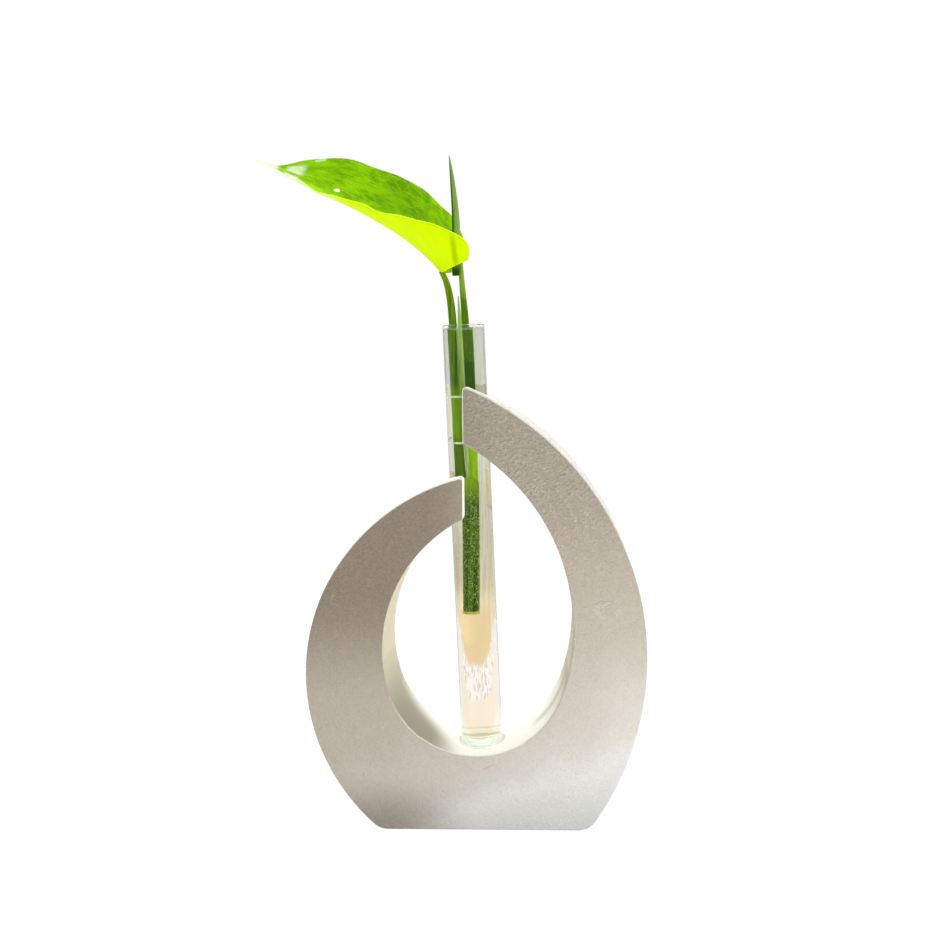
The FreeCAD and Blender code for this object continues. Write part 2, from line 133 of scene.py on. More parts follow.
class Paint:
    """A material, or the world, that is built node by node."""

    def __init__(self, name, made_in=bpy.data.materials):
        self.owner = made_in.new(name)
        self.owner.use_nodes = True
        self.tree = self.owner.node_tree
        self.tree.nodes.clear()

    def make(self, kind, settings=None, inputs=None, output=0):
        """Add a node: its settings first, then the values or links of its sockets."""
        node = self.tree.nodes.new("ShaderNode" + kind)
        for key, value in (settings or {}).items():
            if key == "stops":
                self.fill_ramp(node.color_ramp, value)
            else:
                setattr(node, key, value)
        for key, value in (inputs or {}).items():
            if isinstance(value, Value):
                self.tree.links.new(value.socket, node.inputs[key])
            elif node.inputs[key].type == "RGBA":
                node.inputs[key].default_value = (*value, 1)
            else:
                node.inputs[key].default_value = value
        return Value(self, node.outputs[output]) if node.outputs else None

    @staticmethod
    def fill_ramp(ramp, stops):
        while len(ramp.elements) < len(stops):
            ramp.elements.new(0.5)
        for element, (place, colour) in zip(ramp.elements, stops):
            element.position = place
            element.color = (*colour, 1)

    def stretch(self, vector, scale, turn=(0, 0, 0)):
        """A vector for a pattern, turned and stretched."""
        return self.make("Mapping", None, {"Vector": vector, "Rotation": turn, "Scale": scale})

    def place(self, scale=(1, 1, 1)):
        """The surface's own place in the model, stretched by scale."""
        return self.stretch(self.make("TexCoord", output="Object"), scale)

    def own_map(self, name):
        """The place on a piece's own UV map."""
        return self.make("UVMap", {"uv_map": name})

    def axes(self, spot):
        """A vector's three numbers."""
        node = self.make("SeparateXYZ", None, {0: spot}).socket.node
        return [Value(self, socket) for socket in node.outputs]

    def noise(self, spot, scale, detail=4.0, rough=0.55):
        settings = {"Vector": spot, "Scale": scale, "Detail": detail, "Roughness": rough}
        return self.make("TexNoise", None, settings, "Fac")

    def cells(self, spot, scale):
        """How far a place is from the middle of its cell, in a pattern of uneven cells."""
        return self.make("TexVoronoi", None, {"Vector": spot, "Scale": scale}, "Distance")

    def ramp(self, share, stops):
        """A colour that goes through the stops' colours as share rises."""
        return self.make("ValToRGB", {"stops": stops}, {"Fac": share}, "Color")

    def mix(self, share, first, second, blend="MIX"):
        """One colour turning into another."""
        inputs = {0: share, 6: first, 7: second}
        return self.make("Mix", {"data_type": "RGBA", "blend_type": blend}, inputs, 2)

    def join(self, share, first, second):
        """One shader turning into another."""
        return self.make("MixShader", None, {0: share, 1: first, 2: second})

    def seen_ray(self, *kinds):
        """1 for the rays that are named, such as a camera ray, and 0 for the rest."""
        rays = [self.make("LightPath", output="Is %s Ray" % kind) for kind in kinds]
        total = rays[0]
        for ray in rays[1:]:
            total = total.top(ray)
        return total

    def patch(self, across, up, middle, level, half_width, half_height):
        """1 inside a soft oval round a place, and 0 outside it."""
        side, rise = (across - middle) * (1 / half_width), (up - level) * (1 / half_height)
        return 1 - (side * side + rise * rise).between(0.45, 1.0)

    def bump(self, height, depth, strength=1.0):
        """Relief from a height, where depth is how deep a height of 1 is."""
        return self.make("Bump", None, {"Height": height, "Distance": depth, "Strength": strength})

    def surface(self, inputs):
        """The material's main shader."""
        return self.make("BsdfPrincipled", None, inputs)

    def finish(self, shader):
        kind = "OutputWorld" if isinstance(self.owner, bpy.types.World) else "OutputMaterial"
        self.make(kind, None, {"Surface": shader})
        return self.owner


def linear(level):
    """A screen's level, 0 to 255, as a share of its light."""
    return level / 255 / 12.92 if level <= 10 else ((level / 255 + 0.055) / 1.055) ** 2.4


def srgb(red, green, blue):
    """A colour as read from a screen, as the light it stands for."""
    return linear(red), linear(green), linear(blue)


def within(side, rise, inner, outer):
    """1 nearer than inner to where side and rise are 0, 0 farther than outer, and a smooth slope between."""
    return 1 - (side * side + rise * rise).between(inner ** 2, outer ** 2)


def right_of_axis(across, up):
    """How far a place is to the right of the tube's leaning axis."""
    return across + FOOT_LEFT + (up - FOOT_UP) * LEAN_SHARE


def along_tube(across, up):
    """A place's height, measured square to the leaning tube, so that a level line rings the tube."""
    return up - across * LEAN_SHARE


# Finishes


# Small raised blemishes on the holder's front: x, z, half width and half height
BLEMISHES = [
    (-0.0013, 0.1547, 0.0046, 0.0032),
    (0.0437, 0.0815, 0.0062, 0.0044),
    (-0.0520, 0.0842, 0.0030, 0.0024),
]
CHALK = (0.95, 0.93, 0.86)


def cement_tone(paint, spot, across, up, mottle):
    """The casting's broad tone, partly painted light and shade: warm grey above, paler at its lower right,
    darker at its lower left.
    """
    cloud = paint.noise(spot, 9, 3, 0.5)
    # Partly painted light: the tone rises towards the lower right
    lift = across * 2.6 - up * 7.0 + (cloud - 0.5) * 0.35 + (mottle - 0.5) * 0.16
    tone = paint.ramp((lift + 1.0) * 0.9, [
        (0.0, srgb(192, 181, 163)), (0.25, srgb(188, 176, 161)), (0.58, srgb(198, 189, 176)),
        (0.78, srgb(220, 216, 208)), (0.86, srgb(233, 232, 229)), (1.0, srgb(219, 220, 219))])
    # Painted shade: darker at the lower left
    lower_left_shade = (1 - across.between(-0.036, 0.0)) * (1 - up.between(0.004, 0.022))
    return paint.mix(lower_left_shade * 0.95, tone, srgb(165, 157, 144))


def pale_faces(paint, tone, place, facing, off_front):
    """The casting away from its front, in painted light: paler sides, cut arm ends, tube recess and tops."""
    across, depth, up = place
    tone = paint.mix(off_front * 0.5, tone, srgb(226, 220, 204))
    arm_end = facing[0].abs().between(0.55, 0.85) * up.between(0.094, 0.100)
    tone = paint.mix(arm_end * 0.8, tone, srgb(252, 249, 238))
    recess = within(across + FOOT_LEFT, depth, BORE_RADIUS + 0.0002, BORE_RADIUS + 0.0005)
    tone = paint.mix(recess * (1 - up.between(0.029, 0.031)), tone, srgb(254, 254, 250))
    tone = paint.mix(facing[2].between(0.15, 0.75) * 0.9, tone, srgb(255, 254, 248))
    arm_top = facing[2].between(0.10, 0.40) * up.between(0.085, 0.10)
    return paint.mix(arm_top * 0.95, tone, srgb(255, 254, 250))


def ring_walls(paint, tone, place, facing, off_front):
    """The ring's inner wall, in painted light and shade: shaded low on the left, lit cream above that,
    faintly shaded on the right.
    """
    across, depth, up = place
    cream = srgb(241, 234, 211)
    low_arc = within(across + RING_LEFT, up - RING_UP, RING_RADIUS + 0.00035, RING_RADIUS + 0.0008)
    from_left = across + 0.034
    swept_back = depth + from_left * from_left * 36 - up.between(0.045, 0.056) * 0.010
    left_wall = (1 - swept_back.between(0.003, 0.020)) * (1 - across.between(-0.020, -0.006))
    wall_tone = paint.mix(up.between(0.036, 0.068), srgb(152, 149, 130), cream)
    tone = paint.mix(low_arc * off_front * left_wall * 0.92, tone, wall_tone)
    upper_wall = (1 - low_arc) * up.between(0.050, 0.056) * (1 - across.between(-0.030, -0.012))
    tone = paint.mix(upper_wall * off_front * facing[0].between(0.3, 0.7) * 0.9, tone, cream)
    right_wall = depth.band(-0.0045, 0.0015, 0.0025).top(up.between(0.048, 0.058)) * 0.45
    right_wall = right_wall * across.between(0.015, 0.021)
    return paint.mix(low_arc * off_front * right_wall, tone, srgb(164, 158, 141))


def beside_tube(place, facing):
    """1 on the bore and on the cut arm ends next to the tube, where light gathers, and 0 elsewhere."""
    across, depth, up = place
    off_axis = right_of_axis(across, up)
    bore = within(off_axis, depth, BORE_RADIUS + 0.0014, BORE_RADIUS + 0.0026)
    near_end = within(off_axis, depth, 0.016, 0.020) * facing[0].abs().between(0.55, 0.85)
    return bore.top(near_end) * up.between(0.060, 0.065)


def cement_marks(paint, tone, spot, place, front):
    """Pinholes, specks, a pebbled arm with painted highlights, blemishes and a scratch: the tone with them,
    and their relief.
    """
    across, _, up = place
    holes = 1 - paint.cells(spot, 330).between(0.05, 0.15)
    holes = holes * paint.noise(spot, 95, 2, 0.5).between(0.50, 0.62)
    tone = paint.mix(holes * 0.05, tone, (0.20, 0.17, 0.13))
    specks = 1 - paint.cells(spot, 420).between(0.08, 0.20)
    specks = specks * paint.noise(spot, 60, 2, 0.5).between(0.42, 0.56)
    tone = paint.mix(specks * (0.15 + across.between(-0.010, 0.015) * 0.4), tone, CHALK)
    rough_arm = up.between(0.06, 0.15) * across.between(-0.015, 0.002)
    pebble = paint.noise(spot, 1050, 2, 0.55)
    # Painted highlights: light spots on the pebbled right arm's bumps
    tone = paint.mix(rough_arm * pebble.between(0.52, 0.62) * 0.28, tone, srgb(236, 226, 208))
    lumps = paint.noise(spot, 900, 2, 0.6).between(0.42, 0.58)
    raised = sum(paint.patch(across, up, *blemish) for blemish in BLEMISHES) * front * lumps
    tone = paint.mix(raised * 0.14, tone, CHALK)
    scratch = paint.patch(across, up - across * 0.5, 0.0018, 0.0227, 0.0022, 0.00020) * front
    tone = paint.mix(scratch * 0.45, tone, srgb(120, 112, 100))
    return tone, rough_arm * pebble * 2.4 - holes * 0.1 + specks * 0.3 + raised * 0.22


def cement_paint():
    """Cast cement: sandy grain, small lumps, pinholes, broad mottling, a paler, greyer foot, and painted
    light, shade and glow.
    """
    paint = Paint("cast_cement")
    spot = paint.place()
    place = paint.axes(spot)
    across, _, up = place
    facing = paint.axes(paint.make("NewGeometry", output="Normal"))
    front = 1 - facing[1].between(-0.75, -0.35)
    off_front = (1 - front) * (1 - facing[1].between(0.45, 0.85))
    mottle = paint.noise(spot, 34, 5, 0.6)
    sand = paint.noise(spot, 1500, 3, 0.75)
    grain = paint.noise(spot, 560, 4, 0.7)
    tone = cement_tone(paint, spot, across, up, mottle)
    shaded_arm = (1 - across.between(-0.020, 0.008)) * up.between(0.044, 0.088) * (1 - off_front)
    tone = paint.mix(shaded_arm * 0.95, tone, srgb(144, 131, 115))
    tone = paint.mix(sand.between(0.30, 0.70), paint.mix(0.10, tone, (0.20, 0.16, 0.12)),
                     paint.mix(0.08, tone, (1.0, 0.98, 0.93)))
    tone = pale_faces(paint, tone, place, facing, off_front)
    tone = ring_walls(paint, tone, place, facing, off_front)
    # Painted light: beside the tube the casting is near white and glows faintly
    gathered = beside_tube(place, facing)
    tone = paint.mix(gathered * 0.9, tone, srgb(253, 250, 238))
    tone, relief = cement_marks(paint, tone, spot, place, front)
    height = (sand * 0.5 + grain * 1.3) * 0.55 + mottle * 0.4 + relief
    shader = paint.surface({
        "Base Color": tone, "Roughness": 0.78 + 0.14 * grain, "Specular IOR Level": 0.25,
        "Emission Color": paint.mix(gathered, (0, 0, 0), tone), "Emission Strength": 0.35,
        "Normal": paint.bump(height, 0.00075)})
    return paint.finish(shader)


def finish_clear(paint, glass):
    """Finish a clear material, so that lamp light goes straight through it to what stands behind."""
    veil = paint.make("BsdfTransparent", None, {"Color": (0.97, 0.985, 0.97)})
    return paint.finish(paint.join(paint.seen_ray("Shadow", "Diffuse"), glass, veil))


# Painted highlight rings on the tube's near side: the heights where each starts and ends
HIGHLIGHT_RINGS = [(0.1555, 0.1562), (0.1391, 0.1398)]


def tube_paint():
    """The tube's dry glass: a trace of green, faint lengthwise streaks and painted highlight rings on its
    near side.
    """
    paint = Paint("tube_glass")
    drift = paint.noise(paint.place((1, 1, 0.1)), 120, 2, 0.5)
    tone = paint.mix(drift.between(0.35, 0.65), srgb(248, 251, 248), srgb(252, 253, 251))
    streaks = paint.noise(paint.place((1, 1, 0.06)), 420, 2, 0.5)
    glass = paint.surface({"Base Color": tone, "Roughness": 0.0, "IOR": 1.47, "Transmission Weight": 1.0,
                           "Normal": paint.bump(streaks, 0.00002, 0.5)})
    across, depth, up = paint.axes(paint.place())
    height = along_tube(across, up)
    # Painted highlights: pale rings on the near side, broken up by noise
    rings = sum(height.band(low, high, 0.00012) for low, high in HIGHLIGHT_RINGS)
    ring_patchiness = paint.noise(paint.place((1, 1, 3)), 800, 2, 0.6).between(0.30, 0.60)
    ring_highlight = paint.surface({"Base Color": srgb(236, 246, 222), "Roughness": 0.5 + 0.2 * ring_patchiness})
    near = 1 - depth.between(-0.002, 0.002)
    return finish_clear(paint, paint.join(rings * (0.35 + 0.5 * ring_patchiness) * near, glass, ring_highlight))


def wet_paint():
    """The tube's inner face under water: it bends light for both, and carries the painted view through the
    water.
    """
    paint = Paint("wet_glass")
    return finish_clear(paint, paint.surface({
        "Base Color": painted_view_through_water(paint), "Roughness": 0.0, "IOR": 1.105, "Transmission Weight": 1.0}))


def foot_paint():
    """The tube's thick foot: dull pale green glass with a painted glow, and thin darker lines at its top and
    round its bowl.
    """
    paint = Paint("foot_glass")
    haze = paint.noise(paint.place(), 700, 4, 0.6)
    rings = paint.noise(paint.place((1, 1, 6)), 300, 2, 0.5)
    clear = paint.surface({"Base Color": srgb(240, 248, 240), "Roughness": 0.05, "IOR": 1.2,
                           "Transmission Weight": 1.0})
    tone = paint.mix(rings.between(0.30, 0.70), srgb(238, 246, 235), srgb(255, 255, 252))
    across, _, up = paint.axes(paint.place())
    height = along_tube(across, up)
    off_axis = right_of_axis(across, up).abs()
    bowl_side = (off_axis + (0.0320 - height) * 0.7).band(0.0057, 0.0060, 0.0001)
    bowl_side = bowl_side * height.between(0.0283, 0.0285)
    bowl_floor = height.band(0.0283, 0.0286, 0.0001) * (1 - off_axis.between(0.0034, 0.0038))
    lines = bowl_floor.top(bowl_side).top(height.band(0.03135, 0.03165, 0.0001))
    tone = paint.mix(lines * 0.55, tone, srgb(150, 172, 148))
    # Painted light: the dull share glows faintly
    dull = paint.surface({"Base Color": tone, "Roughness": 0.3 + 0.2 * haze, "Emission Color": tone,
                          "Emission Strength": 0.22, "Normal": paint.bump(haze, 0.0001, 0.25)})
    return finish_clear(paint, paint.join(0.34 + 0.12 * haze, clear, dull))


def painted_view_through_water(paint):
    """A painted view of the holder and the light behind, bent through the water: grey green near the rim,
    streaky cream beside the stem, then peach, white with fine lines and peach again.
    """
    across, depth, up = paint.axes(paint.place())
    off_axis = right_of_axis(across, up)
    # Below the stem the bands hang down in the middle
    sag = (off_axis ** 2 * 120 + off_axis ** 4 * 1.2e7) * (1 - up.between(0.070, 0.085))
    drift = paint.noise(paint.place((1, 1, 0.25)), 260, 3, 0.6)
    level = up + (drift - 0.5) * 0.010 - sag
    tone = paint.ramp((level - 0.02) * (1 / 0.17), [
        (0.0, srgb(254, 250, 244)), (0.062, srgb(248, 234, 216)), (0.135, srgb(247, 231, 211)),
        (0.150, srgb(252, 245, 239)), (0.215, srgb(251, 243, 236)), (0.228, srgb(234, 208, 160)),
        (0.34, srgb(233, 208, 160)), (0.42, srgb(216, 206, 180)), (0.60, srgb(208, 203, 182)),
        (0.68, srgb(224, 224, 212)), (1.0, srgb(197, 203, 186))])
    fine = paint.noise(paint.place((1, 1, 0.18)), 1600, 2, 0.6)
    fine_lines = fine.between(0.48, 0.60) * level.band(0.0445, 0.0580, 0.0015)
    tone = paint.mix(fine_lines * 0.62, tone, srgb(208, 184, 178))
    margin = off_axis.abs().between(0.0047, 0.0053) * (1 - up.between(0.066, 0.085))
    tone = paint.mix(margin * 0.7, tone, srgb(249, 239, 230))
    dim_side = paint.patch(off_axis, up, -0.0047, 0.096, 0.0022, 0.016)
    tone = paint.mix(dim_side * 0.3, tone, srgb(150, 140, 120))
    streaks = paint.noise(paint.place((1, 1, 0.02)), 1300, 2, 0.6).between(0.38, 0.62)
    tone = paint.mix(streaks * up.band(0.082, 0.165, 0.010) * 0.5, tone, srgb(172, 166, 146))
    # Below the stem only the near wall is tinted, and twice over, which keeps the bands sharp
    low = 1 - up.between(0.076, 0.086)
    behind = depth.between(-0.0005, 0.0005)
    tone = paint.mix(low * (1 - behind), tone, paint.mix(1.0, tone, tone, "MULTIPLY"))
    return paint.mix(low * behind, tone, (1, 1, 1))


def film_paint():
    """The water's top, seen almost edge on: a pale film that paints the light its surface reflects."""
    paint = Paint("water_top")
    tone = paint.mix(paint.noise(paint.place(), 500), srgb(206, 216, 196), srgb(240, 246, 232))
    return paint.finish(paint.surface({"Base Color": tone, "Roughness": 0.08, "Alpha": 0.30}))


def unseen_paint():
    """The water's skin where it wets the glass: the glass's own inner face already bends the light there."""
    paint = Paint("wet_skin")
    tone = paint.mix(paint.noise(paint.place(), 200), srgb(250, 252, 250), srgb(252, 253, 251))
    return paint.finish(paint.surface({"Base Color": tone, "Alpha": 0.0}))


def stem_paint(name, shine, dark, light, tip, tip_from, *bands):
    """Green stalk skin: fine lengthwise ribs, lighter streaks, a paler top and bands at given heights, mostly
    painted light and shade.
    """
    paint = Paint(name)
    spot = paint.place()
    up = paint.axes(spot)[2]
    ribs = paint.noise(paint.place((1, 1, 0.015)), 900, 3, 0.65)
    broad = paint.noise(paint.place((1, 1, 0.05)), 360, 3, 0.5)
    tone = paint.mix((ribs * 2.6 + broad * 1.2 - 1.4).between(0.0, 1.0), dark, light)
    tone = paint.mix(up.between(*tip_from) * 0.75, tone, tip)
    for low, high, soft, colour in bands:
        tone = paint.mix(up.band(low, high, soft) * (0.55 + ribs * 0.6), tone, colour)
    fleck = paint.noise(spot, 1400, 2, 0.6).between(0.60, 0.72)
    tone = paint.mix(fleck * 0.35, tone, srgb(150, 185, 60))
    shader = paint.surface({
        "Base Color": tone, "Roughness": 0.40 + 0.12 * broad, "Specular IOR Level": shine,
        "Normal": paint.bump(ribs * 0.7 + fleck * 0.3, 0.00012, 0.7)})
    return paint.finish(shader)


PALE_TIP = srgb(240, 252, 214)


def leaf_veins(paint, node):
    """Shares along and across the blade, the share out from its keel, a waver, and coarse and fine veins."""
    along, across, _ = paint.axes(node)
    out = (across - 0.5).abs() * 2
    waver = paint.noise(paint.stretch(node, (5, 7, 1)), 1.0, 3, 0.5)
    phase = along * 15.5 - out ** 1.25 * 4.6 + waver * 0.9
    vein = ((phase * math.tau).sine() * 0.5 + 0.5) ** 5
    fine = (phase * math.tau * 4.0 + waver * 9).sine() * 0.5 + 0.5
    return along, across, out, waver, vein, fine


def pale_spots(paint, node, along, across, out, waver):
    """Where the blade's upper face is pale: a patch near its tip, the tip, and two small spots."""
    ragged = paint.noise(paint.stretch(node, (40, 14, 1)), 1.0, 3, 0.6)
    pale = along.band(0.82, 0.88, 0.015) * out.band(0.12, 0.70, 0.12) * (0.35 + ragged * 0.8)
    pale = pale.top(along.between(0.90, 0.93))
    shift = (waver - 0.5) * 0.06
    pale = pale.top(paint.patch(along + shift, across + shift, 0.675, 0.562, 0.014, 0.040))
    return pale.top(paint.patch(along + shift, across, 0.780, 0.970, 0.018, 0.035) * 0.5)


def leaf_top_paint():
    """The blade's upper face: bright green with pale streaks by its veins, darker patches, a pale tip and a
    painted glow.
    """
    paint = Paint("leaf_upper")
    node = paint.own_map("blade")
    along, across, out, waver, vein, fine = leaf_veins(paint, node)
    streaky = paint.noise(paint.stretch(node, (13, 70, 1), (0, 0, 0.62)), 1.0, 5, 0.72)
    cloud = paint.noise(paint.stretch(node, (9, 7, 1)), 1.0, 4, 0.65)
    tone = paint.mix(cloud.between(0.38, 0.62), srgb(112, 174, 0), srgb(162, 228, 0))
    tone = paint.mix((1 - streaky.between(0.36, 0.50)) * 0.55, tone, srgb(98, 158, 0))
    tone = paint.mix(streaky.between(0.52, 0.66) * 0.75, tone, srgb(190, 246, 6))
    tone = paint.mix(vein * 0.30, tone, srgb(176, 232, 16))
    tone = paint.mix(along.band(0.20, 0.52, 0.12) * out.band(0.15, 0.85, 0.2) * 0.45, tone, srgb(106, 164, 0))
    tone = paint.mix(along.between(0.55, 0.80) * streaky * 0.6, tone, srgb(176, 238, 4))
    dots = 1 - paint.cells(paint.stretch(node, (52, 30, 1)), 1.0).between(0.05, 0.16)
    dots = dots * paint.noise(node, 5, 2, 0.5).between(0.42, 0.55)
    tone = paint.mix(dots * 0.8, tone, srgb(206, 246, 90))
    pale = pale_spots(paint, node, along, across, out, waver) * 0.95
    tone = paint.mix(pale, tone, PALE_TIP)
    shader = paint.surface({
        "Base Color": tone, "Roughness": 0.42 + 0.14 * streaky, "Specular IOR Level": 0.08,
        # Painted light: the face glows faintly, most where it is pale
        "Emission Color": paint.mix(pale, paint.mix(0.65, tone, (0, 0, 0)), PALE_TIP),
        "Emission Strength": 0.36,
        "Normal": paint.bump(vein * -0.6 + fine * 0.12 + streaky * 0.5, 0.00028, 0.6)})
    return paint.finish(shader)


def leaf_under_paint():
    """The blade's under face: smooth yellow green, partly painted light through the blade, paler towards the
    tip, with the shoot's painted shade.
    """
    paint = Paint("leaf_under")
    along, across, out, waver, vein, fine = leaf_veins(paint, paint.own_map("blade"))
    tone = paint.mix(out.between(0.0, 0.22), srgb(198, 236, 0), srgb(216, 249, 0))
    tone = paint.mix(vein * 0.10, tone, srgb(200, 244, 0))
    near_tip = along.between(0.57, 0.68) * (1 - across.between(0.46, 0.54))
    tone = paint.mix(near_tip * 0.9, tone, srgb(228, 242, 190))
    side, _, up = paint.axes(paint.place())
    shade = side.band(-0.0101, -0.0083, 0.0007) * up.band(0.2006, 0.2098, 0.003)
    tone = paint.mix(shade * 0.45, tone, srgb(112, 144, 0))
    shader = paint.surface({
        "Base Color": tone, "Roughness": 0.60 + 0.08 * waver, "Specular IOR Level": 0.02,
        "Normal": paint.bump(vein * 0.5 + fine * 0.08, 0.00012, 0.4)})
    return paint.finish(shader)


def leaf_edge_paint():
    """The blade's thin edge, paler towards the tip, with a painted glow."""
    paint = Paint("leaf_edge")
    along = paint.axes(paint.own_map("blade"))[0]
    tone = paint.mix(paint.noise(paint.place(), 300, 3, 0.5), srgb(206, 242, 10), srgb(222, 250, 50))
    tone = paint.mix(along.between(0.60, 0.94) * 0.9, tone, PALE_TIP)
    return paint.finish(paint.surface({
        "Base Color": tone, "Roughness": 0.5 + 0.1 * paint.noise(paint.place(), 900),
        "Specular IOR Level": 0.03, "Emission Color": tone, "Emission Strength": 0.4}))


def furled_paint():
    """The rolled leaf in painted light and shade: grey green on its lit side, deep green on its shaded side,
    darkest at its foot, with lengthwise veins.
    """
    paint = Paint("furled_skin")
    node = paint.own_map("roll")
    round_share, along, _ = paint.axes(node)
    lines = paint.noise(paint.stretch(node, (30, 2.2, 1)), 1.0, 3, 0.6)
    face = (round_share * math.tau - 4.2).sine() * 0.5 + 0.5
    tone = paint.mix(face.between(0.35, 0.8), srgb(54, 88, 2), srgb(162, 196, 100))
    tone = paint.mix(lines.between(0.35, 0.65) * 0.45, tone, srgb(88, 124, 24))
    tone = paint.mix(1 - along.between(0.03, 0.16), tone, srgb(44, 72, 2))
    return paint.finish(paint.surface({
        "Base Color": tone, "Roughness": 0.36 + 0.12 * lines, "Specular IOR Level": 0.2,
        "Normal": paint.bump(lines, 0.00010, 0.6)}))


def sheath_paint():
    """The thin sheath: pale yellow green with fine lengthwise lines."""
    paint = Paint("sheath_skin")
    lines = paint.noise(paint.place((1, 1, 0.03)), 2600, 3, 0.6)
    tone = paint.mix(lines.between(0.35, 0.65), srgb(172, 210, 96), srgb(206, 234, 150))
    return paint.finish(paint.surface({
        "Base Color": tone, "Roughness": 0.42 + 0.1 * lines, "Specular IOR Level": 0.15,
        "Normal": paint.bump(lines, 0.00008, 0.5)}))


def bubble_paint():
    """Tiny air bubbles that cling to the stem, with a painted glint."""
    paint = Paint("air_bubbles")
    glint = paint.noise(paint.place(), 2400, 2, 0.5)
    tone = paint.mix(glint.between(0.35, 0.65), srgb(176, 212, 90), srgb(240, 250, 200))
    return paint.finish(paint.surface({
        "Base Color": tone, "Roughness": 0.12 + 0.1 * glint,
        "Emission Color": tone, "Emission Strength": 0.18}))


# Meshes


def mesh_from(bm, name):
    """Turn a bmesh into a mesh and let the bmesh go."""
    mesh = bpy.data.meshes.new(name)
    bm.to_mesh(mesh)
    bm.free()
    return mesh


def put_in_scene(name, data):
    """A new object in the scene, at the origin."""
    thing = bpy.data.objects.new(name, data)
    bpy.context.scene.collection.objects.link(thing)
    return thing


def new_piece(name, mesh_maker, materials, body, slot, *replaced):
    """Make a piece from a bmesh, dress it, and let it ride on a body."""
    bm = bmesh.new()
    mesh_maker(bm)
    mesh = mesh_from(bm, name)
    for material in materials:
        mesh.materials.append(material)
    mesh.shade_smooth()
    piece = put_in_scene(name, mesh)
    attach(piece, body)
    if replaced:
        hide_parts(*replaced)
    return piece


def to_model(bm):
    """Stand what was drawn in the tube's own millimetres in its place in the model."""
    bmesh.ops.transform(bm, matrix=TUBE_FRAME @ Matrix.Scale(MM, 4), verts=bm.verts[:])


def turned(bm, profile):
    """Turn a profile about the tube's axis: each corner is its radius, its height and its rounding, in mm."""
    corners = [bm.verts.new((radius, 0, height)) for radius, height, _ in profile]
    for first, second in zip(corners, corners[1:]):
        bm.edges.new((first, second))
    for corner, (_, _, rounding) in zip(corners, profile):
        if rounding:
            bmesh.ops.bevel(bm, geom=[corner], offset=rounding, offset_type="OFFSET", affect="VERTICES",
                            segments=6, profile=0.5, material=-1)
    bmesh.ops.spin(bm, geom=bm.verts[:] + bm.edges[:], cent=(0, 0, 0), axis=(0, 0, 1), angle=math.tau,
                   steps=TURN_STEPS, use_merge=True)
    bmesh.ops.remove_doubles(bm, verts=bm.verts[:], dist=0.0005)
    bmesh.ops.recalc_face_normals(bm, faces=bm.faces[:])


def glass_mesh(bm):
    """The tube: flat foot, thick base and fire-polished rim, in dry glass, wet glass and foot glass."""
    dry_glass, wet_glass, foot_glass = 0, 1, 2
    turned(bm, [
        (0, 0, 0),
        (TUBE_RADIUS, 0, FOOT_ROUND),
        (TUBE_RADIUS, FOOT_TOP, 0),
        (TUBE_RADIUS, RIM_EDGE, RIM_ROUND),
        (RIM_MIDDLE, TUBE_LENGTH, 0),
        (TUBE_INSIDE, RIM_EDGE, RIM_ROUND),
        (TUBE_INSIDE, WATER_LEVEL, 0),
        (TUBE_INSIDE, TUBE_BASE, INSIDE_ROUND),
        (0, TUBE_BASE, 0),
    ])
    for face in bm.faces:
        middle = face.calc_center_median()
        inside = math.hypot(middle.x, middle.y) < TUBE_INSIDE + 0.01 and middle.z > TUBE_BASE - 0.1
        face.material_index = dry_glass
        if inside and middle.z < WATER_LEVEL:
            face.material_index = wet_glass
        elif middle.z < FOOT_TOP and not inside:
            face.material_index = foot_glass
    to_model(bm)


def water_mesh(bm):
    """The water: it fills the tube almost to the rim and climbs a little at its edge."""
    turned(bm, [
        (0, TUBE_BASE + WATER_GAP, 0),
        (TUBE_INSIDE - WATER_GAP, TUBE_BASE + WATER_GAP, INSIDE_ROUND),
        (TUBE_INSIDE - WATER_GAP, WATER_LEVEL, 0),
        (6.0, WATER_LEVEL - 0.6, 0.2),
        (5.2, WATER_LEVEL - 1.0, 0.6),
        (0, WATER_LEVEL - 1.1, 0),
    ])
    for face in bm.faces:
        face.material_index = int(face.normal.z < 0.05)
    to_model(bm)


def smooth_at(table, share):
    """A row of a table of stations, read at any share, on a smooth curve through the stations."""
    last = len(table) - 2
    index = min(last, max(0, sum(1 for row in table[1:-1] if row[0] <= share)))
    low, high = table[index], table[index + 1]
    gap = high[0] - low[0]
    t = (share - low[0]) / gap

    def slope(row, column):
        before, after = table[max(row - 1, 0)], table[min(row + 1, last + 1)]
        return (after[column] - before[column]) / (after[0] - before[0])

    result = []
    for column in range(1, len(low)):
        m0, m1 = slope(index, column) * gap, slope(index + 1, column) * gap
        p0, p1 = low[column], high[column]
        result.append((2 * t ** 3 - 3 * t ** 2 + 1) * p0 + (t ** 3 - 2 * t ** 2 + t) * m0
                      + (3 * t ** 2 - 2 * t ** 3) * p1 + (t ** 3 - t ** 2) * m1)
    return result


# A stalk, in millimetres: where it starts beside, behind and up the tube's axis, how far it swings, goes back
# and rises, and its radius. Its stations are as the solids have them: a share of the rise, and there the
# shares of the swing, of the way back and of the radius.
Stalk = namedtuple("Stalk", "right behind up swing back rise radius stations")

